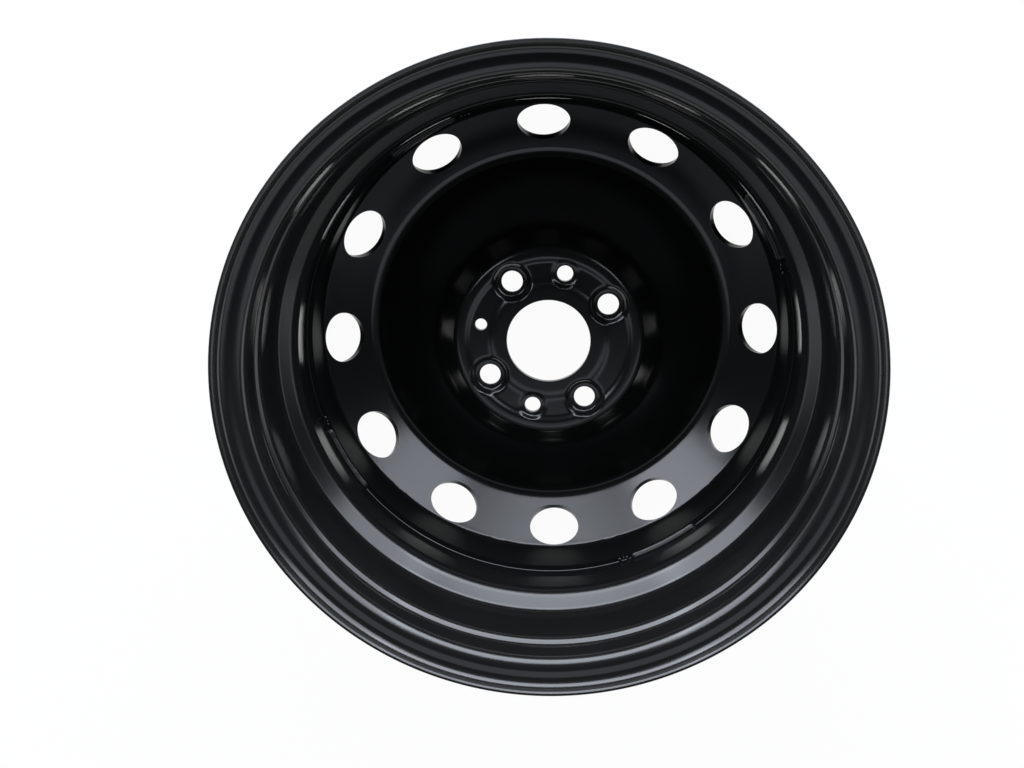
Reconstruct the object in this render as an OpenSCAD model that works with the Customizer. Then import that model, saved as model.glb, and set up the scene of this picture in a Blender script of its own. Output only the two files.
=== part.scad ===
// Pressed steel road wheel: a rolled rim, a deep-drawn disc and the four fillet welds that join them.
// The wheel axis is Z. The hub face lies on Z = 0 with the vehicle side up, and the first bolt hole is on +X.

/* [Wheel] */
// Rim width between the two flanges
rim_width = 165.1; // [152.4:12.7:177.8]
// Rim diameter at the bead seats
rim_d = 380.2; // [378:0.1:390]
// Offset of the hub face from the middle of the rim
wheel_offset = 40; // [36:0.5:44]

/* [Rim] */
// Thickness of the rolled strip
rim_t = 2.6; // [2:0.1:3.2]
// Height of the flanges above the bead seats
flange_h = 17.3; // [16.5:0.1:18]
// Width of the flange lip beyond the tyre's side
lip_w = 12; // [11:0.1:13]
// Bend radius at the top of the flange
flange_bend_r = 9.5; // [8:0.1:10]
// Bend radius at the tyre's heel
heel_r = 6.5; // [5:0.1:7.5]
// Slope of the bead seats
seat_angle = 5; // [4:0.1:6]
// Length of the bead seats, up to the foot of the hump
seat_l = 15.5; // [14:0.1:16]
// Distance of the hump's top from the flange
hump_at = 21; // [20.5:0.1:22]
// Height of the hump above the seat's end
hump_h = 1.5; // [0.8:0.1:1.8]
// Bend radius at the top of the hump
hump_top_r = 8; // [6:0.5:9]
// Bend radius at the feet of the hump
hump_foot_r = 12; // [8:0.5:13]
// Distance of the hump's far foot from the flange
hump_end = 28; // [27:0.1:30]
// Drop of the hump's far foot below the bead seat diameter, on the radius
hump_drop = 2.6; // [2:0.1:3.2]
// Drop of the long inner ledge along its length, on the radius
ledge_drop = 1.1; // [0.5:0.1:2]
// Depth of the drop-centre well below the bead seats
well_depth = 16.1; // [15:0.1:18]
// Height of the well's inner corner above the hub face
well_top = 48; // [44:0.5:54]
// Lean of the well's inner wall from square to the axis
inner_lean = 37; // [25:1:42]
// Lean of the well's outer wall from square to the axis
outer_lean = 30; // [20:1:34]
// Bend radius at the foot and the top of the well's walls
well_bend_r = 10; // [6:0.5:11]

/* [Valve hole] */
// Diameter of the valve hole
valve_d = 11.3; // [10:0.1:12]
// Place of the valve hole round the rim
valve_angle = 165; // [135:30:345]

/* [Disc] */
// Thickness of the pressed sheet
disc_t = 4; // [3.4:0.1:4.4]
// Height of the skirt's edge above the hub face
skirt_top = 17; // [14:0.5:22]
// Clearance between the pressed-in skirt and the well
skirt_gap = 0.05; // [0.02:0.01:0.1]
// Bend radius between the vent ring and the skirt
skirt_bend_r = 10; // [8:0.5:14]
// Slope of the vent ring
ring_angle = 36; // [32:0.5:40]
// Radius of the valley between the vent ring and the bowl
valley_r = 131.2; // [129:0.1:133]
// Depth of the valley's corner below the hub face
valley_depth = 43; // [40:0.5:45]
// Bend radius of the valley
valley_bend_r = 9; // [6:0.5:12]
// Slope of the bowl beside the valley
bowl_angle = 26; // [23:0.5:28]
// Slope of the bowl beside the hub pad
pad_wall_angle = 48; // [44:0.5:52]
// Bend radius halfway up the bowl
bowl_bend_r = 40; // [20:1:60]

/* [Hub pad] */
// Diameter of the centre bore
bore_d = 60.1; // [56:0.1:62]
// Bend radius of the pad's edge
pad_bend_r = 7; // [5:0.5:8]
// Outer radius of the inner land
inner_land_r = 40.5; // [39:0.1:41]
// Inner radius of the outer land
outer_land_r = 60.5; // [60:0.1:61]
// Width of the outer land, up to the start of the bowl
outer_land_w = 6.5; // [6.2:0.1:8]
// Depth of the channel between the lands
channel_depth = 1.8; // [1:0.1:2.2]
// Length of the slope on either side of the channel
channel_slope = 3; // [2.6:0.1:3.4]
// Bend radius at the edges of the lands
land_bend_r = 5; // [4.6:0.1:6]
// Bend radius at the feet of the channel's slopes
channel_bend_r = 2.5; // [2:0.1:3]

/* [Bolt holes] */
// Number of bolt holes
bolt_count = 4; // [3:1:5]
// Diameter of the bolt circle
bolt_pcd = 100; // [98:0.5:102]
// Diameter of the bolt holes
bolt_d = 15.1; // [14:0.1:16]
// Diameter of the conical bolt seat at its mouth
seat_d = 18; // [17:0.1:18.5]
// Included angle of the bolt seat
seat_cone = 60; // [60:30:90]
// Radius of a bolt pocket's floor
pocket_floor_r = 9.6; // [9.2:0.1:10]
// Radius of a bolt pocket's mouth at the hub face
pocket_r = 15.8; // [15:0.1:16.2]
// Depth of a bolt pocket below the hub face
pocket_depth = 5; // [4:0.1:5.5]

/* [Small holes] */
// Diameter of the locating hole and of the hole across from it
locating_d = 11.4; // [10:0.1:12]
// Diameter of the hanging hole between them
hanging_d = 8.5; // [7:0.1:9]
// Radius of a small pocket's floor
small_floor_r = 6.8; // [6.5:0.1:7.2]
// Radius of a small pocket's mouth
small_pocket_r = 11.6; // [11:0.1:12]
// Depth of a small pocket below the hub face
small_depth = 3.2; // [2.8:0.1:3.6]

/* [Vents] */
// Number of vents
vent_count = 12; // [8:1:14]
// Radius of the vents' centres
vent_r = 156.4; // [155:0.1:157]
// Tilt of the piercing direction from the wheel axis
vent_tilt = 20; // [12:1:30]
// Width of a vent
vent_w = 38; // [34:0.5:40]
// Reach of a vent from its centre towards the rim
vent_reach = 10.1; // [9:0.1:11]
// Radius of the flat outer side of a vent
vent_flat_r = 33; // [28:0.5:38]
// Corner radius of a vent
vent_corner_r = 6.5; // [5:0.1:7]

/* [Welds] */
// Number of fillet welds
weld_count = 4; // [3:1:6]
// Length of a weld, as an angle round the wheel
weld_arc = 18; // [12:1:24]
// Turn of the welds from the bolt holes
weld_lead = -1.5; // [-4:0.5:4]
// Size of the weld bead
weld_leg = 4; // [3:0.1:4.4]

/* [Hidden] */
$fn = 96;
arc_step = 7.5;
paint = [0.06, 0.06, 0.065];

bead_r = rim_d / 2;
flange_r = bead_r + flange_h;
inner_face = wheel_offset + rim_width / 2;
outer_face = wheel_offset - rim_width / 2;
well_r = bead_r - well_depth;
well_bore_r = well_r - rim_t;
seat_end_r = bead_r - seat_l * tan(seat_angle);
hump_r = seat_end_r + hump_h;
foot_r = bead_r - hump_drop;
ledge_r = foot_r - ledge_drop;
ledge_end = well_top + (ledge_r - well_r) * tan(inner_lean);
well_end = outer_face + hump_end + (foot_r - well_r) * tan(outer_lean);

pad_r = outer_land_r + outer_land_w;
skirt_r = well_bore_r - skirt_gap;
skirt_bore_r = skirt_r - disc_t;
bowl_r = (pad_r * tan(pad_wall_angle) + valley_depth - valley_r * tan(bowl_angle))
    / (tan(pad_wall_angle) - tan(bowl_angle));
bowl_z = -(bowl_r - pad_r) * tan(pad_wall_angle);
bolt_step = 360 / bolt_count;
weld_step = 360 / weld_count;

// Height of the vent ring's vehicle side at a radius
function ring_z(r) = -valley_depth + (r - valley_r) * tan(ring_angle);

// Corners of the rim's tyre side, [radius, height, bend radius], from the inner lip to the outer one
rim_path = [
    [flange_r, inner_face + lip_w - rim_t / 2, 0],
    [flange_r, inner_face, flange_bend_r],
    [bead_r, inner_face, heel_r],
    [seat_end_r, inner_face - seat_l, hump_foot_r],
    [hump_r, inner_face - hump_at, hump_top_r],
    [foot_r, inner_face - hump_end, hump_foot_r],
    [ledge_r, ledge_end, well_bend_r],
    [well_r, well_top, well_bend_r],
    [well_r, well_end, well_bend_r],
    [foot_r, outer_face + hump_end, hump_top_r],
    [hump_r, outer_face + hump_at, hump_top_r],
    [seat_end_r, outer_face + seat_l, hump_foot_r],
    [bead_r, outer_face, heel_r],
    [flange_r, outer_face, flange_bend_r],
    [flange_r, outer_face - lip_w + rim_t / 2, 0]
];

// Corners of the disc's vehicle side, from the centre bore to the skirt's edge
disc_path = [
    [bore_d / 2, 0, 0],
    [inner_land_r, 0, land_bend_r],
    [inner_land_r + channel_slope, -channel_depth, channel_bend_r],
    [outer_land_r - channel_slope, -channel_depth, channel_bend_r],
    [outer_land_r, 0, land_bend_r],
    [pad_r, 0, pad_bend_r],
    [bowl_r, bowl_z, bowl_bend_r],
    [valley_r, -valley_depth, valley_bend_r],
    [skirt_bore_r, ring_z(skirt_bore_r), skirt_bend_r],
    [skirt_bore_r, skirt_top, 0]
];

function xy(p) = [p[0], p[1]];
function unit(v) = v / norm(v);
function left_of(v) = [-v[1], v[0]];
function reversed(list) = [for (i = [len(list) - 1 : -1 : 0]) list[i]];
function heading(path, i) = unit(xy(path[i + 1]) - xy(path[i]));

// Angle of the path's turn at corner i, to the left if positive
function turn(path, i) =
    let (a = heading(path, i - 1), b = heading(path, i))
    atan2(a[0] * b[1] - a[1] * b[0], a * b);

// Points on an arc that starts at angle a and sweeps on
function arc(c, r, a, sweep) =
    let (n = max(2, ceil(abs(sweep) / arc_step)))
    [for (k = [0 : n]) c + r * [cos(a + sweep * k / n), sin(a + sweep * k / n)]];

// The round of corner i, on a line that runs at distance off to the left of the path
function corner(path, i, off) =
    let (
        t = turn(path, i),
        r = path[i][2],
        way = heading(path, i - 1),
        out = left_of(way) * -sign(t),
        c = xy(path[i]) - way * r * tan(abs(t) / 2) - out * r
    )
    arc(c, r - off * sign(t), atan2(out[1], out[0]), t);

// A line along a path of corners, rounded at each one and shifted to the left by off
function line(path, off = 0) =
    let (last = len(path) - 1)
    concat(
        [xy(path[0]) + left_of(heading(path, 0)) * off],
        [for (i = [1 : last - 1]) each corner(path, i, off)],
        [xy(path[last]) + left_of(heading(path, last - 1)) * off]
    );

// Half-round end of a sheet of thickness t, from p across to the other side
function round_end(p, t, a) = arc(p - t / 2 * [cos(a), sin(a)], t / 2, a, -180);

module valve_hole() {
    rotate([0, 0, valve_angle])
        translate([(well_r + foot_r) / 2, 0, (well_end + outer_face + hump_end) / 2])
            rotate([0, outer_lean, 0])
                cylinder(d = valve_d, h = 8 * rim_t, center = true);
}

// Rolled strip with a half-round edge on both lips
module rim() {
    tyre_side = line(rim_path);
    hub_side = reversed(line(rim_path, -rim_t));
    color(paint)
        difference() {
            rotate_extrude()
                polygon(concat(
                    tyre_side,
                    round_end(tyre_side[len(tyre_side) - 1], rim_t, 0),
                    hub_side,
                    round_end(hub_side[len(hub_side) - 1], rim_t, 180)
                ));
            valve_hole();
        }
}

// Outline of a vent, with X towards the rim: a round inner side, a flatter outer side and round corners
module vent_outline() {
    r = vent_w / 2;
    flat_x = vent_reach - vent_flat_r;
    cx = (pow(r - vent_corner_r, 2) + flat_x * flat_x - pow(vent_flat_r - vent_corner_r, 2)) / (2 * flat_x);
    cy = sqrt(pow(r - vent_corner_r, 2) - cx * cx);
    a = atan2(cy, cx);
    b = atan2(cy, cx - flat_x);
    polygon(concat(
        arc([0, 0], r, a, 360 - 2 * a),
        arc([cx, -cy], vent_corner_r, -a, a - b),
        arc([flat_x, 0], vent_flat_r, -b, 2 * b),
        arc([cx, cy], vent_corner_r, b, a - b)
    ));
}

module vents() {
    for (i = [0 : vent_count - 1])
        rotate([0, 0, i * 360 / vent_count])
            translate([vent_r, 0, ring_z(vent_r)])
                rotate([0, -vent_tilt, 0])
                    linear_extrude(height = 12 * disc_t, center = true) vent_outline();
}

// Recess pressed round a hole, as a cut into the vehicle side
module pocket(floor_r, mouth_r, depth) {
    flare = (mouth_r - floor_r) / depth;
    above = 1;
    translate([0, 0, -depth])
        cylinder(r1 = floor_r, r2 = mouth_r + flare * above, h = depth + above);
}

// Outer skin of the same recess, as a boss on the road side with its root inside the sheet
module boss(floor_r, mouth_r, depth) {
    flare = (mouth_r - floor_r) / depth;
    grow = disc_t * tan(atan(1 / flare) / 2);
    root = disc_t / 4;
    translate([0, 0, -depth - disc_t])
        cylinder(r1 = floor_r + grow, r2 = mouth_r + grow + flare * root, h = depth + root);
}

module at_bolts() {
    for (i = [0 : bolt_count - 1])
        rotate([0, 0, i * bolt_step]) translate([bolt_pcd / 2, 0, 0]) children();
}

// Place on the bolt circle, midway between bolt hole i and the next
module at_gap(i) {
    rotate([0, 0, (i + 0.5) * bolt_step]) translate([bolt_pcd / 2, 0, 0]) children();
}

// Straight hole with a conical seat for the bolt's head at its road side
module bolt_hole() {
    mouth = -pocket_depth - disc_t;
    seat_depth = (seat_d - bolt_d) / 2 / tan(seat_cone / 2);
    through = pocket_depth + 2 * disc_t;
    translate([0, 0, mouth - disc_t / 2]) cylinder(d = bolt_d, h = through);
    translate([0, 0, mouth - seat_depth])
        cylinder(d1 = 2 * seat_d - bolt_d, d2 = bolt_d, h = 2 * seat_depth);
}

module small_hole(d) {
    cylinder(d = d, h = 8 * disc_t, center = true);
}

module disc() {
    color(paint)
        difference() {
            union() {
                rotate_extrude()
                    polygon(concat(line(disc_path), reversed(line(disc_path, -disc_t))));
                at_bolts() boss(pocket_floor_r, pocket_r, pocket_depth);
                for (i = [0, 2]) at_gap(i) boss(small_floor_r, small_pocket_r, small_depth);
            }
            at_bolts() {
                pocket(pocket_floor_r, pocket_r, pocket_depth);
                bolt_hole();
            }
            for (i = [0, 2]) at_gap(i) {
                pocket(small_floor_r, small_pocket_r, small_depth);
                small_hole(locating_d);
            }
            at_gap(1) small_hole(hanging_d);
            vents();
        }
}

// Half of a weld's round end: a quarter of a ball that fits the corner, to one side of X
module weld_end(side) {
    intersection() {
        translate([well_bore_r, 0, skirt_top]) sphere(weld_leg);
        translate([0, side < 0 ? -weld_leg : 0, skirt_top]) cube([flange_r, weld_leg, weld_leg]);
        translate([0, 0, skirt_top - weld_leg]) cylinder(r = well_bore_r, h = 3 * weld_leg);
    }
}

// Quarter-round bead in the corner between the skirt's edge and the well
module weld(i) {
    color(paint)
        rotate([0, 0, i * weld_step + weld_lead - weld_arc / 2]) {
            rotate_extrude(angle = weld_arc)
                polygon(concat(
                    [[well_bore_r, skirt_top]],
                    arc([well_bore_r, skirt_top], weld_leg, 90, 90)
                ));
            weld_end(-1);
            rotate([0, 0, weld_arc]) weld_end(1);
        }
}

rim();
disc();
for (i = [0 : weld_count - 1])
    weld(i);
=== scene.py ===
import math

import bpy
from mathutils import Matrix, Vector


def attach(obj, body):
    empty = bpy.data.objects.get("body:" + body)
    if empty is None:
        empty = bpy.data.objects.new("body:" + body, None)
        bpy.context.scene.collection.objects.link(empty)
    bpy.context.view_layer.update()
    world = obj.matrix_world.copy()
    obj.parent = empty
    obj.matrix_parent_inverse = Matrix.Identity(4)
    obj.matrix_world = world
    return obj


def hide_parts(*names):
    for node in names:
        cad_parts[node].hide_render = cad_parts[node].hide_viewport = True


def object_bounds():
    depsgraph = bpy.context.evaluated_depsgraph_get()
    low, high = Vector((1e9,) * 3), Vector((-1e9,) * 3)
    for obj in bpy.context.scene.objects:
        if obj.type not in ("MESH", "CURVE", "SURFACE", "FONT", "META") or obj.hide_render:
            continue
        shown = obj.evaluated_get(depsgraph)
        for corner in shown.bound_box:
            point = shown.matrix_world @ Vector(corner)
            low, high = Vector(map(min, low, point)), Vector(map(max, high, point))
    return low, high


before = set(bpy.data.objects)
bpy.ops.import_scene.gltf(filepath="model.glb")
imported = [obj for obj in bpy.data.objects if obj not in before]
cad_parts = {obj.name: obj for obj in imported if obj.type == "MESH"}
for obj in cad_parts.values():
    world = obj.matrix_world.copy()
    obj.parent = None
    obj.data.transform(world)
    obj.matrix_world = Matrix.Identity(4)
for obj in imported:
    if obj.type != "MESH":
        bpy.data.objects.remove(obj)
cad_low, cad_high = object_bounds()
MM = 0.001

# Rim: one rolled strip of steel, butt-welded into a hoop and roll-formed into two flanges,
# two bead seats with humps, a long ledge and a drop-centre well. Its section is drawn with
# a pen, straight by straight and bend by bend, and spun round the wheel's axis.
RIM_T = 2.6 * MM
BEAD_R = 190.1 * MM
FLANGE_R = 207.4 * MM
INNER_FACE = 122.55 * MM
OUTER_FACE = -42.55 * MM
LIP_W = 12 * MM
LIP_RUN = 2.6 * MM
LIP_LEAN = 0.5 * MM
LIP_CHAMFER = 1.0 * MM
LIP_ROUND = 0.5 * MM
FLANGE_BEND = 9.5 * MM
HEEL_BEND = 6.5 * MM
SEAT_W = 15.5 * MM
SEAT_FALL = math.tan(math.radians(5))
SEAT_BEND = 9 * MM
ROAD_SEAT_BEND = 12 * MM
HUMP_RISE = 1.5 * MM
HUMP_CROWN = 0.4 * MM
HUMP_AT = 22.6 * MM
HUMP_FOOT_AT = 26.3 * MM
HUMP_BEND = 4 * MM
ROAD_HUMP_AT = 21 * MM
ROAD_FOOT_AT = 28 * MM
ROAD_HUMP_BEND = 8 * MM
FOOT_DROP = 2.6 * MM
LEDGE_DROP = 1.1 * MM
LEDGE_RISE = 0.5 * MM
WELL_R = 174 * MM
WELL_TOP = 48 * MM
WELL_BEND = 10 * MM
STEP_LEAN = math.radians(40.5)
VALVE_WALL_LEAN = math.radians(30)
SKIRT_TOP = 17 * MM
PRESS_FIT = 0.05 * MM
SEAM = 0.2 * MM
MERGE_DISTANCE = 0.005 * MM
BEND_STEP = math.radians(5)
EDGE_STEP = math.radians(20)
RIM_STEPS = 240


class Pen:
    """Draws a section in the XZ plane: one vertex, extruded along straights, spun round bends."""

    def __init__(self, name, start):
        bpy.ops.object.select_all(action="DESELECT")
        bpy.ops.mesh.primitive_plane_add(size=MM)
        self.piece = bpy.context.object
        self.piece.name = name
        bpy.ops.object.mode_set(mode="EDIT")
        bpy.ops.mesh.select_mode(type="VERT")
        bpy.ops.mesh.merge(type="CENTER")
        bpy.ops.transform.translate(value=(start[0], 0, start[1]))
        self.at = start

    def straight(self, to, longest=1.0):
        run = (to[0] - self.at[0], to[1] - self.at[1])
        length = math.hypot(*run)
        parts = math.ceil(length / longest)
        if length > 1e-8:
            step = (run[0] / parts, 0, run[1] / parts)
            for _ in range(parts):
                bpy.ops.mesh.extrude_region_move(TRANSFORM_OT_translate={"value": step})
        self.at = to

    def bend(self, centre, sweep, step=BEND_STEP):
        steps = max(2, math.ceil(abs(sweep) / step))
        middle = (centre[0], 0, centre[1])
        bpy.ops.mesh.spin(steps=steps, angle=sweep, center=middle, axis=(0, 1, 0))
        x, z = self.at[0] - centre[0], self.at[1] - centre[1]
        c, s = math.cos(sweep), math.sin(sweep)
        self.at = (centre[0] + c * x - s * z, centre[1] + s * x + c * z)

    def follow(self, bends, longest=1.0, step=BEND_STEP):
        for start, centre, sweep in bends:
            self.straight(start, longest)
            self.bend(centre, sweep, step)


def bends_of(corners, shift=0.0):
    """The start, centre and turn of each bend of a path of (radius, height, bend radius).

    A shift gives those of the path that runs beside it, on the other side of the strip.
    """
    found = []
    for before, here, after in zip(corners, corners[1:], corners[2:]):
        way = unit(before, here)
        onward = unit(here, after)
        across = way[0] * onward[1] - way[1] * onward[0]
        along = way[0] * onward[0] + way[1] * onward[1]
        turn = math.atan2(across, along)
        side = math.copysign(1, turn)
        run = here[2] * math.tan(abs(turn) / 2)
        inward = (-way[1] * side, way[0] * side)
        centre = (
            here[0] - way[0] * run + inward[0] * here[2],
            here[1] - way[1] * run + inward[1] * here[2],
        )
        radius = here[2] - shift * side
        start = (centre[0] - inward[0] * radius, centre[1] - inward[1] * radius)
        found.append((start, centre, turn))
    return found


def unit(a, b):
    length = math.hypot(b[0] - a[0], b[1] - a[1])
    return (b[0] - a[0]) / length, (b[1] - a[1]) / length


def backwards(bends):
    """The same bends, followed from the last end to the first start."""
    found = []
    for start, centre, turn in reversed(bends):
        x, z = start[0] - centre[0], start[1] - centre[1]
        c, s = math.cos(turn), math.sin(turn)
        found.append(((centre[0] + c * x - s * z, centre[1] + s * x + c * z), centre, -turn))
    return found


def spin_round(steps):
    """Spins the drawn section once round the wheel's axis and closes the seam."""
    bpy.ops.mesh.select_all(action="SELECT")
    bpy.ops.mesh.spin(steps=steps, angle=math.tau, center=(0, 0, 0), axis=(0, 0, 1))
    close_seams()


def close_seams():
    """Merges what meets in edit mode, turns the faces outwards and leaves edit mode."""
    bpy.ops.mesh.select_all(action="SELECT")
    bpy.ops.mesh.remove_doubles(threshold=MERGE_DISTANCE)
    bpy.ops.mesh.normals_make_consistent(inside=False)
    bpy.ops.object.mode_set(mode="OBJECT")


def only(piece):
    """Leaves this piece as the only selected one."""
    bpy.ops.object.select_all(action="DESELECT")
    piece.select_set(True)
    bpy.context.view_layer.objects.active = piece


def close_piece(piece):
    """Closes the seams of a whole piece from object mode."""
    only(piece)
    bpy.ops.object.mode_set(mode="EDIT")
    close_seams()


def apply(piece, kind, **settings):
    """Adds one modifier with these settings and applies it."""
    only(piece)
    modifier = piece.modifiers.new(kind.title(), kind)
    for key, value in settings.items():
        setattr(modifier, key, value)
    bpy.ops.object.modifier_apply(modifier=modifier.name)


def smooth(piece, angle=40):
    """Shades smooth across bends, keeps cut edges, and lets the large faces rule the normals."""
    only(piece)
    bpy.ops.object.shade_smooth_by_angle(angle=math.radians(angle))
    apply(piece, "WEIGHTED_NORMAL", keep_sharp=True)


seat_end_r = BEAD_R - SEAT_W * SEAT_FALL
hump_r = seat_end_r + HUMP_RISE
foot_r = BEAD_R - FOOT_DROP
ledge_r = foot_r - LEDGE_DROP
ledge_end = WELL_TOP + (ledge_r - WELL_R) * math.tan(STEP_LEAN)
road_foot = OUTER_FACE + ROAD_FOOT_AT
well_end = road_foot + (foot_r - WELL_R) * math.tan(VALVE_WALL_LEAN)
lip_end = INNER_FACE + LIP_W
road_lip_end = OUTER_FACE - LIP_W
rim_corners = [
    (FLANGE_R, lip_end - LIP_RUN, 0),
    (FLANGE_R, INNER_FACE, FLANGE_BEND),
    (BEAD_R, INNER_FACE, HEEL_BEND),
    (seat_end_r, INNER_FACE - SEAT_W, SEAT_BEND),
    (hump_r + HUMP_CROWN, INNER_FACE - HUMP_AT, HUMP_BEND),
    (ledge_r + LEDGE_RISE, INNER_FACE - HUMP_FOOT_AT, HUMP_BEND),
    (ledge_r, ledge_end, WELL_BEND),
    (WELL_R, WELL_TOP, WELL_BEND),
    (WELL_R, well_end, WELL_BEND),
    (foot_r, road_foot, ROAD_HUMP_BEND),
    (hump_r, OUTER_FACE + ROAD_HUMP_AT, ROAD_HUMP_BEND),
    (seat_end_r, OUTER_FACE + SEAT_W, ROAD_SEAT_BEND),
    (BEAD_R, OUTER_FACE, HEEL_BEND),
    (FLANGE_R, OUTER_FACE, FLANGE_BEND),
    (FLANGE_R, road_lip_end + LIP_RUN, 0),
]
# The strip's cut edges lean in a little, and their inner corners are broken with a wide chamfer.
lip_edge = [
    (FLANGE_R - RIM_T, lip_end - LIP_RUN, 0),
    (FLANGE_R - RIM_T, lip_end - LIP_LEAN - LIP_CHAMFER, LIP_ROUND),
    (FLANGE_R - RIM_T + LIP_CHAMFER, lip_end - LIP_LEAN, LIP_ROUND),
    (FLANGE_R, lip_end, LIP_ROUND),
    (FLANGE_R, lip_end - LIP_RUN, 0),
]
road_lip_edge = [
    (FLANGE_R, road_lip_end + LIP_RUN, 0),
    (FLANGE_R, road_lip_end, LIP_ROUND),
    (FLANGE_R - RIM_T + LIP_CHAMFER, road_lip_end + LIP_LEAN, LIP_ROUND),
    (FLANGE_R - RIM_T, road_lip_end + LIP_LEAN + LIP_CHAMFER, LIP_ROUND),
    (FLANGE_R - RIM_T, road_lip_end + LIP_RUN, 0),
]
pen = Pen("rim_hoop", rim_corners[0][:2])
pen.follow(bends_of(rim_corners))
pen.straight(rim_corners[-1][:2])
pen.follow(bends_of(road_lip_edge), step=EDGE_STEP)
pen.straight(road_lip_edge[-1][:2])
inside = backwards(bends_of(rim_corners, -RIM_T))
bends_below_seam = 6
pen.follow(inside[:bends_below_seam])
# Paint gathers as a fine fillet in the seam above the edge of the disc's skirt.
seam_z = SKIRT_TOP + PRESS_FIT
pen.straight((WELL_R - RIM_T, seam_z))
pen.straight((WELL_R - RIM_T - SEAM, seam_z))
pen.straight((WELL_R - RIM_T, seam_z + SEAM))
pen.follow(inside[bends_below_seam:])
pen.straight(lip_edge[0][:2])
pen.follow(bends_of(lip_edge), step=EDGE_STEP)
pen.straight(lip_edge[-1][:2])
spin_round(RIM_STEPS)
rim = pen.piece

# The valve hole is punched square through the outer wall of the well.
VALVE_D = 11.3 * MM
VALVE_ANGLE = math.radians(165)
VALVE_STEPS = 64
VALVE_TOOL_LENGTH = 8 * RIM_T
valve_r = (WELL_R + foot_r) / 2
bpy.ops.object.select_all(action="DESELECT")
bpy.ops.mesh.primitive_cylinder_add(
    vertices=VALVE_STEPS,
    radius=VALVE_D / 2,
    depth=VALVE_TOOL_LENGTH,
    location=(
        valve_r * math.cos(VALVE_ANGLE),
        valve_r * math.sin(VALVE_ANGLE),
        (well_end + road_foot) / 2,
    ),
    rotation=(0, VALVE_WALL_LEAN, VALVE_ANGLE),
)
valve_tool = bpy.context.object
apply(rim, "BOOLEAN", object=valve_tool, operation="DIFFERENCE", solver="MANIFOLD")
bpy.data.objects.remove(valve_tool)
close_piece(rim)
smooth(rim)
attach(rim, "root")
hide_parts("rim")


class Value:
    """One shader socket. Arithmetic on it adds Math nodes, and node() adds any other kind."""

    def __init__(self, tree, socket):
        self.tree = tree
        self.socket = socket

    def node(self, kind, settings=None, inputs=None, out=0):
        made = self.tree.nodes.new(kind)
        for key, value in (settings or {}).items():
            if key == "stops":
                elements = made.color_ramp.elements
                for i, (place, colour) in enumerate(value):
                    stop = elements[i] if i < 2 else elements.new(place)
                    stop.position, stop.color = place, colour
            else:
                setattr(made, key, value)
        for key, value in (inputs or {}).items():
            if isinstance(value, Value):
                self.tree.links.new(value.socket, made.inputs[key])
            else:
                made.inputs[key].default_value = value
        return Value(self.tree, made.outputs[out])

    def math(self, operation, first, second):
        return self.node("ShaderNodeMath", {"operation": operation}, {0: first, 1: second})

    def __add__(self, other):
        return self.math("ADD", self, other)

    def __radd__(self, other):
        return self.math("ADD", other, self)

    def __sub__(self, other):
        return self.math("SUBTRACT", self, other)

    def __rsub__(self, other):
        return self.math("SUBTRACT", other, self)

    def __mul__(self, other):
        return self.math("MULTIPLY", self, other)

    def __rmul__(self, other):
        return self.math("MULTIPLY", other, self)


BLACK = [(0.3, (0.0050, 0.0055, 0.0053, 1)), (0.7, (0.0062, 0.0068, 0.0066, 1))]
TOP_COAT = 0.9
PEEL_DEPTH = 0.06 * MM


def new_material(name):
    """A bare material, its shader and the object's own coordinates in it."""
    material = bpy.data.materials.new(name)
    material.use_nodes = True
    shader = material.node_tree.nodes["Principled BSDF"]
    coordinates = material.node_tree.nodes.new("ShaderNodeTexCoord")
    return material, shader, Value(material.node_tree, coordinates.outputs["Object"])


def gloss_black(name, peel, gloss=None):
    """Black wheel paint: slightly cool and smooth, with orange peel and a faint drift in its gloss.

    Where the glossy top coat isn't even, gloss gives its share from the object's coordinates.
    """
    material, shader, place = new_material(name)
    drift = place.node("ShaderNodeTexNoise", None, {"Vector": place, "Scale": 18.0, "Detail": 3.0})
    grain = place.node("ShaderNodeTexNoise", None, {"Vector": place, "Scale": 900.0, "Detail": 2.0})
    skin = place.node("ShaderNodeTexNoise", None, {"Vector": place, "Scale": 260.0, "Detail": 1.5})
    colour = place.node("ShaderNodeValToRGB", {"stops": BLACK}, {"Fac": drift})
    roughness = 0.18 + 0.06 * drift + 0.03 * grain
    if gloss:
        roughness = roughness + 0.25 * (1 - gloss(place))
    relief = 0.7 * skin + 0.3 * grain
    bump = place.node(
        "ShaderNodeBump", None, {"Height": relief, "Strength": peel, "Distance": PEEL_DEPTH}
    )
    tree = material.node_tree
    tree.links.new(colour.socket, shader.inputs["Base Color"])
    tree.links.new(roughness.socket, shader.inputs["Roughness"])
    tree.links.new(bump.socket, shader.inputs["Normal"])
    shader.inputs["IOR"].default_value = 1.14
    shader.inputs["Coat Weight"].default_value = TOP_COAT
    shader.inputs["Coat Roughness"].default_value = 0.2
    shader.inputs["Coat IOR"].default_value = 1.57
    if gloss:
        coat = TOP_COAT * gloss(place)
        tree.links.new(coat.socket, shader.inputs["Coat Weight"])
    return material


def paint(piece, material):
    piece.data.materials.clear()
    piece.data.materials.append(material)


SHEET_PEEL = 0.25
paint(rim, gloss_black("rim_gloss_black", SHEET_PEEL))

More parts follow.
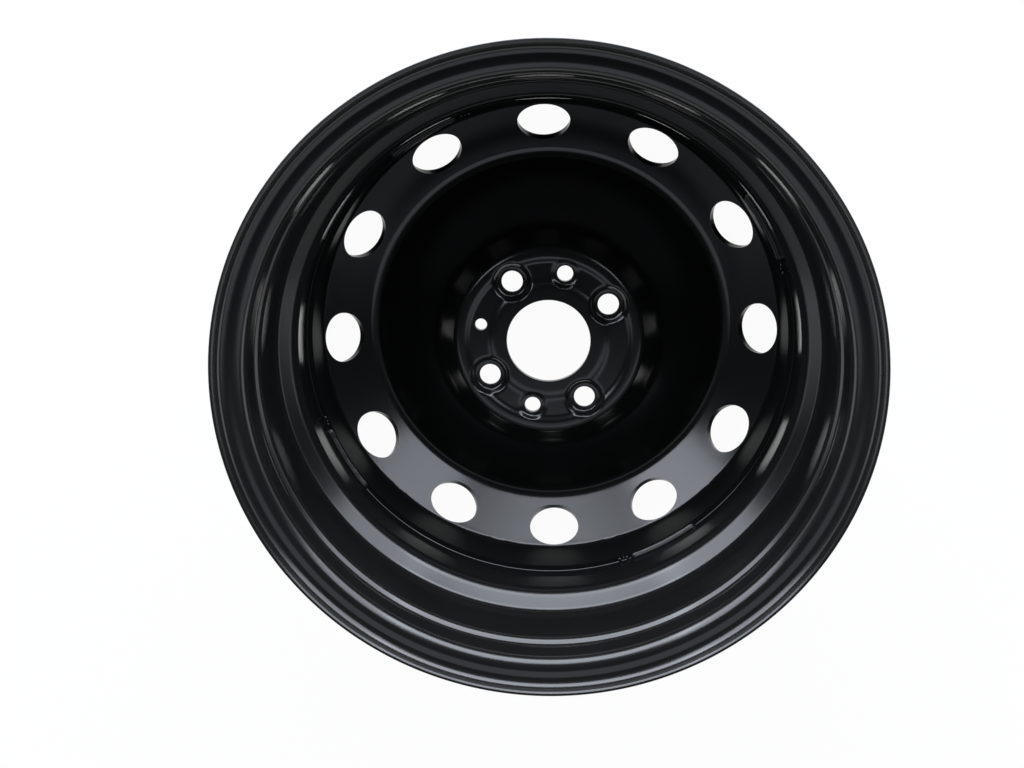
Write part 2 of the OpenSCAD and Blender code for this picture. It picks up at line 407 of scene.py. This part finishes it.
# Disc: one deep-drawn sheet with a stepped hub pad, a bowl, a valley, a sloped vent ring and a
# skirt that is pressed into the rim's well. The sheet's vehicle side is modelled first and then
# given its thickness.
DISC_T = 4 * MM
DISC_STEPS = 288
BORE_R = 30.05 * MM
LAND_R = 39.5 * MM
LAND_BEND = 9 * MM
CHANNEL = 1.8 * MM
CHANNEL_R = 44 * MM
CHANNEL_BEND = 7 * MM
CHANNEL_END_R = 57 * MM
CHANNEL_END_BEND = 4 * MM
RIDGE_R = 60.5 * MM
RIDGE_BEND = 5 * MM
PAD_R = 67 * MM
PAD_FALL = math.tan(math.radians(52.5))
PAD_BEND = 7 * MM
BOWL_FALL = math.tan(math.radians(26))
BOWL_BEND = 26 * MM
VALLEY = (131.2 * MM, -43 * MM)
VALLEY_BEND = 9 * MM
RING_LEAN = math.radians(36)
RING_SLOPE = math.tan(RING_LEAN)
RING_SAG = 0.18 * MM
RING_TURN = math.radians(36)
SKIRT_R = WELL_R - RIM_T - PRESS_FIT - DISC_T
SKIRT_BEND = 5 * MM
FINE_RUN = 1.2 * MM
WIDE_RUN = 9 * MM
SKIRT_RUN = 6 * MM
PAD_STEP = math.radians(8)


def cone_height(radius):
    """Height of the vent ring's cone on the vehicle side."""
    return VALLEY[1] + (radius - VALLEY[0]) * RING_SLOPE


bowl_r = (PAD_R * PAD_FALL - VALLEY[1] - VALLEY[0] * BOWL_FALL) / (PAD_FALL - BOWL_FALL)
disc_corners = [
    (BORE_R, 0, 0),
    (LAND_R, 0, LAND_BEND),
    (CHANNEL_R, -CHANNEL, CHANNEL_BEND),
    (CHANNEL_END_R, -CHANNEL, CHANNEL_END_BEND),
    (RIDGE_R, 0, RIDGE_BEND),
    (PAD_R, 0, PAD_BEND),
    (bowl_r, -(bowl_r - PAD_R) * PAD_FALL, BOWL_BEND),
    (*VALLEY, VALLEY_BEND),
    (SKIRT_R, cone_height(SKIRT_R), SKIRT_BEND),
    (SKIRT_R, SKIRT_TOP, 0),
]
disc_bends = bends_of(disc_corners)
ring_start = backwards(disc_bends)[1][0]
cone_end, bend_centre, skirt_turn = disc_bends[-1]
bend_reach = 0.97 * SKIRT_BEND


def ring_height(radius):
    """Height of the vent ring's vehicle side, on its cone and in the bend towards the skirt."""
    if radius < cone_end[0]:
        share = (radius - ring_start[0]) / (cone_end[0] - ring_start[0])
        return cone_height(radius) - 4 * RING_SAG * share * (1 - share)
    reach = min(radius - bend_centre[0], bend_reach)
    return bend_centre[1] - math.sqrt(SKIRT_BEND**2 - reach**2)


pen = Pen("disc_bowl", disc_corners[0][:2])
pen.follow(disc_bends[:4], longest=FINE_RUN, step=PAD_STEP)
pen.follow(disc_bends[4:5], longest=FINE_RUN)
pen.follow(disc_bends[5:7], longest=WIDE_RUN)
spin_round(DISC_STEPS)
disc = pen.piece

across = skirt_turn - RING_TURN
ring_end = (
    bend_centre[0] + SKIRT_BEND * math.cos(across),
    bend_centre[1] - SKIRT_BEND * math.sin(across),
)
pen = Pen("disc_skirt", ring_end)
pen.bend(bend_centre, across)
pen.straight(disc_corners[-1][:2], longest=SKIRT_RUN)
spin_round(DISC_STEPS)
skirt = pen.piece


def pick(piece, test):
    """Goes into edit mode on a piece with the vertices selected that pass a test on their place."""
    only(piece)
    bpy.ops.object.mode_set(mode="EDIT")
    bpy.ops.mesh.select_mode(type="VERT")
    bpy.ops.mesh.select_all(action="DESELECT")
    bpy.ops.object.mode_set(mode="OBJECT")
    for vertex in piece.data.vertices:
        vertex.select = test(vertex.co)
    bpy.ops.object.mode_set(mode="EDIT")


# One twelfth of the vent ring: the border of its sector is bridged to the outline of its vent, laid
# on the ring's cone, and the finished twelfth is repeated round the axis.
VENTS = 12
VENT_R = 155 * MM
VENT_HALF = 18.7 * MM
VENT_REACH = 13.4 * MM
VENT_BACK = 16.5 * MM
VENT_TILT = math.radians(20)
OFF_AXIS = 0.01 * MM
SETTLE_STEPS = 30
SETTLE_SHARE = 0.7
BAND_BEFORE = 1.6 * MM
BAND_INSET = 0.1 * MM
SECTOR_STEPS = DISC_STEPS // VENTS
CONE_PARTS = 10
sector = math.tau / VENTS

pen = Pen("disc_ring", ring_start)
pen.straight(cone_end, longest=math.dist(ring_start, cone_end) / (CONE_PARTS - 0.5))
pen.bend(bend_centre, RING_TURN)
bpy.ops.mesh.select_all(action="SELECT")
bpy.ops.mesh.spin(steps=SECTOR_STEPS, angle=sector, center=(0, 0, 0), axis=(0, 0, -1))
ring = pen.piece
bpy.ops.mesh.select_all(action="SELECT")
bpy.ops.mesh.region_to_loop()
bpy.ops.mesh.select_all(action="INVERT")
bpy.ops.mesh.delete(type="VERT")
bpy.ops.object.mode_set(mode="OBJECT")

bpy.ops.object.select_all(action="DESELECT")
bpy.ops.mesh.primitive_circle_add(vertices=len(ring.data.vertices), radius=VENT_HALF)
vent = bpy.context.object
pick(vent, lambda co: co.x > OFF_AXIS)
bpy.ops.transform.resize(value=(VENT_REACH / VENT_HALF, 1, 1), center_override=(0, 0, 0))
bpy.ops.object.mode_set(mode="OBJECT")
pick(vent, lambda co: co.x < -OFF_AXIS)
bpy.ops.transform.resize(value=(VENT_BACK / VENT_HALF, 1, 1), center_override=(0, 0, 0))
bpy.ops.object.mode_set(mode="OBJECT")
vent.rotation_euler = (0, -VENT_TILT, sector / 2)
vent.location = (VENT_R * math.cos(sector / 2), VENT_R * math.sin(sector / 2), ring_height(VENT_R))
bpy.ops.object.transform_apply()
inward = math.sin(VENT_TILT)
for vertex in vent.data.vertices:
    for _ in range(SETTLE_STEPS):
        gap = ring_height(math.hypot(vertex.co.x, vertex.co.y)) - vertex.co.z
        slide = SETTLE_SHARE * gap / (math.cos(VENT_TILT) + inward * RING_SLOPE)
        vertex.co.x -= slide * inward * math.cos(sector / 2)
        vertex.co.y -= slide * inward * math.sin(sector / 2)
        vertex.co.z += slide * math.cos(VENT_TILT)
ring.select_set(True)
bpy.context.view_layer.objects.active = ring
bpy.ops.object.join()
only(ring)
bpy.ops.object.mode_set(mode="EDIT")
bpy.ops.mesh.select_all(action="SELECT")
bpy.ops.mesh.bridge_edge_loops(number_cuts=4, interpolation="LINEAR")
bpy.ops.object.mode_set(mode="OBJECT")
bend_band = (cone_end[0] - BAND_BEFORE, ring_end[0] - BAND_INSET)
pick(ring, lambda co: bend_band[0] < math.hypot(co.x, co.y) < bend_band[1])
bpy.ops.mesh.subdivide(number_cuts=2)
bpy.ops.object.mode_set(mode="OBJECT")
for vertex in ring.data.vertices:
    vertex.co.z = ring_height(vertex.co.xy.length)
bpy.ops.object.mode_set(mode="EDIT")
bpy.ops.mesh.select_all(action="SELECT")
bpy.ops.transform.rotate(value=sector / 2, orient_axis="Z", center_override=(0, 0, 0))
for _ in range(VENTS - 1):
    bpy.ops.mesh.duplicate()
    bpy.ops.transform.rotate(value=sector, orient_axis="Z", center_override=(0, 0, 0))
bpy.ops.object.mode_set(mode="OBJECT")

bpy.ops.object.select_all(action="DESELECT")
for part in (disc, ring, skirt):
    part.select_set(True)
bpy.context.view_layer.objects.active = disc
bpy.ops.object.join()
disc.name = "disc_sheet"
close_piece(disc)

# The sheet gets its thickness towards the road side, where the vents' outlines slip inwards so that
# their walls slant, and its cut edges are broken.
EDGE_BREAK = 0.5 * MM
CUT_EDGE = math.radians(50)


def on_ring(co):
    return ring_start[0] < co.xy.length < ring_end[0]


up = sum(face.normal.z * face.area for face in disc.data.polygons)
pick(disc, on_ring)
bpy.ops.mesh.select_non_manifold(extend=False)
bpy.ops.object.mode_set(mode="OBJECT")
front = len(disc.data.vertices)
outlines = [vertex.index for vertex in disc.data.vertices if vertex.select and on_ring(vertex.co)]
apply(disc, "SOLIDIFY", thickness=DISC_T, offset=-1 if up > 0 else 1)
slip = DISC_T * math.tan(RING_LEAN - VENT_TILT) * math.cos(RING_LEAN)
for index in outlines:
    back = disc.data.vertices[front + index].co
    inwards = -back.xy.normalized() * slip
    back += Vector((inwards.x, inwards.y, -slip * RING_SLOPE))
only(disc)
bpy.ops.object.mode_set(mode="EDIT")
bpy.ops.mesh.select_mode(type="EDGE")
bpy.ops.mesh.select_all(action="DESELECT")
bpy.ops.mesh.edges_select_sharp(sharpness=CUT_EDGE)
bpy.ops.mesh.bevel(offset=EDGE_BREAK, segments=3, affect="EDGES", clamp_overlap=True)
bpy.ops.object.mode_set(mode="OBJECT")

# The pad's pockets are pressed away from the hub, four deep ones for the bolts and two shallow ones,
# so that they bulge through to the road side. Each has a flat floor, and the wall follows softly.
BOLT_R = 50 * MM
POCKET_DROP = 5 * MM
POCKET = (9.8 * MM, 14.8 * MM, POCKET_DROP)
SMALL_DROP = 3.2 * MM
SMALL_POCKET = (6.9 * MM, 11 * MM, SMALL_DROP)
BOLT_ANGLES = (0, 90, 180, 270)
SMALL_ANGLES = (45, 225)
HANGING_ANGLE = 135


def on_bolt_circle(angle):
    return BOLT_R * math.cos(math.radians(angle)), BOLT_R * math.sin(math.radians(angle))


def press(centre, floor_r, mouth_r, drop):
    """Presses one round pocket into both sides of the pad's sheet."""
    for vertex in disc.data.vertices:
        reach = math.hypot(vertex.co.x - centre[0], vertex.co.y - centre[1])
        share = min(1, max(0, (mouth_r - reach) / (mouth_r - floor_r)))
        share *= share * (3 - 2 * share)
        pressed = -drop if vertex.co.z > -(CHANNEL + DISC_T) / 2 else -drop - DISC_T
        vertex.co.z += share * (pressed - vertex.co.z)


bolts = [on_bolt_circle(angle) for angle in BOLT_ANGLES]
small = [on_bolt_circle(angle) for angle in SMALL_ANGLES]
for centre in bolts:
    press(centre, *POCKET)
for centre in small:
    press(centre, *SMALL_POCKET)

# The holes are punched with a small shoulder; a bolt hole also has a conical seat for the bolt's
# head, turned into the road side of its boss. The shoulder starts just clear of the pocket's floor.
BOLT_HOLE_R = 7.55 * MM
SMALL_HOLE_R = 5.7 * MM
HANGING_HOLE_R = 4.25 * MM
SHOULDER = 0.6 * MM
SHOULDER_STEP = math.radians(30)
CLEAR_OF_FLOOR = 0.02 * MM
PUNCH_STEPS = 64
BOLT_SEAT = (9 * MM, math.tan(math.radians(30)))


def punch(centre, radius, floor_z, seat=None):
    """Cuts one round hole through the sheet below a pocket's floor."""
    back = floor_z - DISC_T
    top = floor_z + CLEAR_OF_FLOOR
    tool = Pen("punch", (0, floor_z + MM))
    tool.straight((radius + SHOULDER, floor_z + MM))
    tool.straight((radius + SHOULDER, top))
    tool.bend((radius + SHOULDER, top - SHOULDER), math.pi / 2, SHOULDER_STEP)
    low = back - MM
    if seat:
        tool.straight((radius, back + (seat[0] - radius) / seat[1]))
        tool.straight((seat[0] + MM * seat[1], low))
    else:
        tool.straight((radius, low))
    tool.straight((0, low))
    spin_round(PUNCH_STEPS)
    only(tool.piece)
    tool.piece.location = (*centre, 0)
    bpy.ops.object.transform_apply()
    apply(disc, "BOOLEAN", object=tool.piece, operation="DIFFERENCE", solver="MANIFOLD")
    bpy.data.objects.remove(tool.piece)


for centre in bolts:
    punch(centre, BOLT_HOLE_R, -POCKET_DROP, BOLT_SEAT)
for centre in small:
    punch(centre, SMALL_HOLE_R, -SMALL_DROP)
punch(on_bolt_circle(HANGING_ANGLE), HANGING_HOLE_R, -CHANNEL)
close_piece(disc)
smooth(disc)
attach(disc, "root")
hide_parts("disc")

THIN_FROM = 165.7 * MM
THIN_TO = 167.2 * MM


def thin_in_the_corner(place):
    """The top coat runs thin in the corner between the vent ring and the skirt."""
    flat = place.node("ShaderNodeVectorMath", {"operation": "MULTIPLY"}, {0: place, 1: (1, 1, 0)})
    radius = place.node("ShaderNodeVectorMath", {"operation": "LENGTH"}, {0: flat}, "Value")
    cloud = place.node("ShaderNodeTexNoise", None, {"Vector": place, "Scale": 60.0})
    return place.node(
        "ShaderNodeMapRange",
        {"interpolation_type": "SMOOTHSTEP"},
        {
            "Value": radius + MM * cloud,
            "From Min": THIN_FROM,
            "From Max": THIN_TO,
            "To Min": 1,
            "To Max": 0,
        },
    )


paint(disc, gloss_black("disc_gloss_black", SHEET_PEEL, thin_in_the_corner))

# Welds: four fillet beads in the corner between the skirt's edge and the well. Each is laid in one
# pass, with fine ripples across it, rounded ends and a small spatter where the arc was struck. One
# bead is modelled, and its copies are turned to their places.
WELDS = 4
WELD_LEG = 4 * MM
WELD_SINK = 0.4 * MM
WELD_ARC = math.radians(18)
WELD_LEAD = math.radians(-1.5)
WELD_RINGS = 160
WELD_STEP = math.radians(6)
WELD_SHADE = 60
RIPPLE = 2.2 * MM
WANDER = (1.9 * MM, 5.3 * MM)
WELD_PEEL = 0.4
# Shares of the leg: the bead's fill, its ripples and how they trail, its wander and its ridges.
FILL = 0.9
RIPPLE_RISE = 0.04
RIPPLE_TRAIL = 0.3
WANDER_RISE = 0.025
RIDGE_RISE = 0.06
RIDGE_TURNS = 8
END_FLAT = 0.015
# Each drop's distance before the bead, its distance from the well's wall and its radius.
SPATTER = [
    (2.6 * MM, 1.6 * MM, 1.3 * MM),
    (5.2 * MM, 2.2 * MM, 1.0 * MM),
    (8.2 * MM, 1.8 * MM, 1.5 * MM),
]
corner = (WELL_R - RIM_T, SKIRT_TOP)
pen = Pen("weld_bead_1", (corner[0] + WELD_SINK, corner[1] + WELD_LEG))
pen.straight((corner[0], corner[1] + WELD_LEG))
pen.bend(corner, math.pi / 2, WELD_STEP)
pen.straight((corner[0] - WELD_LEG, corner[1] - WELD_SINK))
pen.straight((corner[0] + WELD_SINK, corner[1] - WELD_SINK))
pen.straight((corner[0] + WELD_SINK, corner[1] + WELD_LEG))
bpy.ops.mesh.select_all(action="SELECT")
bpy.ops.mesh.remove_doubles(threshold=MERGE_DISTANCE)
bpy.ops.mesh.edge_face_add()
bpy.ops.mesh.spin(steps=WELD_RINGS, angle=WELD_ARC, center=(0, 0, 0), axis=(0, 0, -1))
bpy.ops.object.mode_set(mode="OBJECT")
bead = pen.piece
for vertex in bead.data.vertices:
    turned = math.atan2(vertex.co.y, vertex.co.x)
    outward = Vector((math.cos(turned), math.sin(turned), 0))
    root = corner[0] * outward + Vector((0, 0, corner[1]))
    run = turned * corner[0]
    from_end = min(run, WELD_ARC * corner[0] - run) / WELD_LEG
    round_off = math.sqrt(max(END_FLAT, 1 - max(0, 1 - from_end) ** 2))
    off = vertex.co - root
    lay = math.atan2(off.z, -off.dot(outward))
    trail = WELD_LEG * RIPPLE_TRAIL * math.cos(2 * lay)
    ripple = RIPPLE_RISE * abs(math.sin(math.pi * (run + trail) / RIPPLE))
    wander = WANDER_RISE * math.sin(run / WANDER[0]) * math.sin(run / WANDER[1])
    ridges = RIDGE_RISE * math.cos(RIDGE_TURNS * lay)
    vertex.co = root + off * round_off * (FILL + ripple + wander - ridges)
close_piece(bead)
smooth(bead, WELD_SHADE)
bead_start = WELD_LEAD - WELD_ARC / 2
bead.rotation_euler.z = bead_start
bpy.ops.object.transform_apply()
drops = []
for before, inset, size in SPATTER:
    turned = bead_start - before / corner[0]
    drop_r = corner[0] - inset
    bpy.ops.object.select_all(action="DESELECT")
    bpy.ops.mesh.primitive_uv_sphere_add(
        segments=24,
        ring_count=12,
        radius=size,
        location=(drop_r * math.cos(turned), drop_r * math.sin(turned), corner[1]),
    )
    bpy.ops.object.shade_smooth()
    drops.append(bpy.context.object)
for part in (*drops, bead):
    part.select_set(True)
bpy.context.view_layer.objects.active = bead
bpy.ops.object.join()
paint(bead, gloss_black("weld_gloss_black", WELD_PEEL))
for i in range(WELDS):
    weld = bead if i == 0 else bead.copy()
    if i:
        weld.data = bead.data.copy()
        weld.name = f"weld_bead_{i + 1}"
        bpy.context.scene.collection.objects.link(weld)
        only(weld)
        weld.rotation_euler.z = i * math.tau / WELDS
        bpy.ops.object.transform_apply()
    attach(weld, "root")
    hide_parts(f"weld_{i + 1}")

# Studio: a plain white floor under the wheel, soft light and the camera that looks down at it. Three
# upright panels stand beyond the wheel, weak cards beside and before it, and the room is white only
# near the horizon.
FLOOR_SIZE = 16
FLOOR_WHITE = [(0.3, (0.90, 0.90, 0.90, 1)), (0.7, (0.93, 0.93, 0.93, 1))]
SHADOW_SHARE = 0.04
bpy.ops.object.select_all(action="DESELECT")
bpy.ops.mesh.primitive_plane_add(size=FLOOR_SIZE, location=(0, 0, cad_low.z))
floor = bpy.context.object
floor.name = "floor"
material, shader, place = new_material("white_floor")
tree = material.node_tree
tree.nodes.remove(shader)
path = tree.nodes.new("ShaderNodeLightPath")
seen = Value(tree, path.outputs["Is Camera Ray"])
seen = seen.math("MAXIMUM", seen, Value(tree, path.outputs["Is Glossy Ray"]))
seen = seen.math("MAXIMUM", seen, Value(tree, path.outputs["Is Transmission Ray"]))
cloud = place.node("ShaderNodeTexNoise", None, {"Vector": place, "Scale": 3.0})
white = place.node("ShaderNodeValToRGB", {"stops": FLOOR_WHITE}, {"Fac": cloud})
matt = place.node("ShaderNodeBsdfDiffuse", None, {"Color": white})
glow = place.node("ShaderNodeEmission", None, {"Color": (1, 1, 1, 1), "Strength": 1.0})
shown = place.node("ShaderNodeMixShader", None, {0: SHADOW_SHARE, 1: glow, 2: matt})
blend = place.node("ShaderNodeMixShader", None, {0: seen, 1: matt, 2: shown})
tree.links.new(blend.socket, tree.nodes["Material Output"].inputs["Surface"])
paint(floor, material)

# AWAY runs along the floor from the camera past the wheel's axis, and SIDE to the camera's right.
COOL = (0.85, 0.9, 1.0)
AWAY = Vector((0.5233, 0.8521, 0))
SIDE = Vector((0.8521, -0.5233, 0))


def soft_panel(name, radiance, azimuth, distance, size, middle, lean=0.0):
    """A soft rectangular light that faces the wheel's axis, unseen by the camera.

    It stands at a distance from the axis with its middle at a height, in metres. The azimuth counts
    from AWAY to SIDE in degrees, and a lean tips the light down.
    """
    turn = math.radians(azimuth)
    place = distance * (math.cos(turn) * AWAY + math.sin(turn) * SIDE)
    aim = Vector((-place.x, -place.y, -distance * math.tan(math.radians(lean))))
    data = bpy.data.lights.new(name, "AREA")
    data.shape = "RECTANGLE"
    data.size, data.size_y = size
    data.energy = radiance * math.pi * size[0] * size[1]
    data.color = COOL
    lamp = bpy.data.objects.new(name, data)
    bpy.context.scene.collection.objects.link(lamp)
    lamp.location = (place.x, place.y, middle)
    lamp.rotation_euler = aim.to_track_quat("-Z", "Y").to_euler()
    lamp.visible_camera = False


soft_panel("middle_panel", 7.0, 0, 1.3, (2.3, 1.25), 0.58)
soft_panel("right_panel", 4.4, 52, 1.45, (0.8, 1.8), 0.85)
soft_panel("left_panel", 5.3, -52, 1.45, (0.8, 1.8), 0.85)
soft_panel("right_card", 1.0, 108, 1.3, (0.7, 0.5), 0.36)
soft_panel("left_card", 1.0, -108, 1.3, (0.7, 0.5), 0.36)
soft_panel("near_card", 0.75, 180, 0.9, (3, 1.0), 1.2, 53)

world = bpy.data.worlds.new("pale_horizon")
bpy.context.scene.world = world
world.use_nodes = True
tree = world.node_tree
way = Value(tree, tree.nodes.new("ShaderNodeTexCoord").outputs["Generated"])
height = way.node("ShaderNodeSeparateXYZ", None, {0: way}, "Z")
horizon = [(0.18, (1, 1, 1, 1)), (0.36, (0.03, 0.03, 0.03, 1))]
room = way.node("ShaderNodeValToRGB", {"stops": horizon}, {"Fac": height})
tree.links.new(room.socket, tree.nodes["Background"].inputs["Color"])

camera_data = bpy.data.cameras.new("camera")
camera_data.sensor_width = 36
camera_data.lens = 41.467
camera = bpy.data.objects.new("camera", camera_data)
bpy.context.scene.collection.objects.link(camera)
bpy.context.scene.camera = camera
camera.matrix_world = Matrix((
    (0.84785, 0.49828, 0.18099, 0.11585),
    (-0.52794, 0.8247, 0.20267, 0.16033),
    (-0.04828, -0.26742, 0.96237, 0.8254),
    (0, 0, 0, 1),
))

bpy.context.scene.view_settings.view_transform = "Standard"
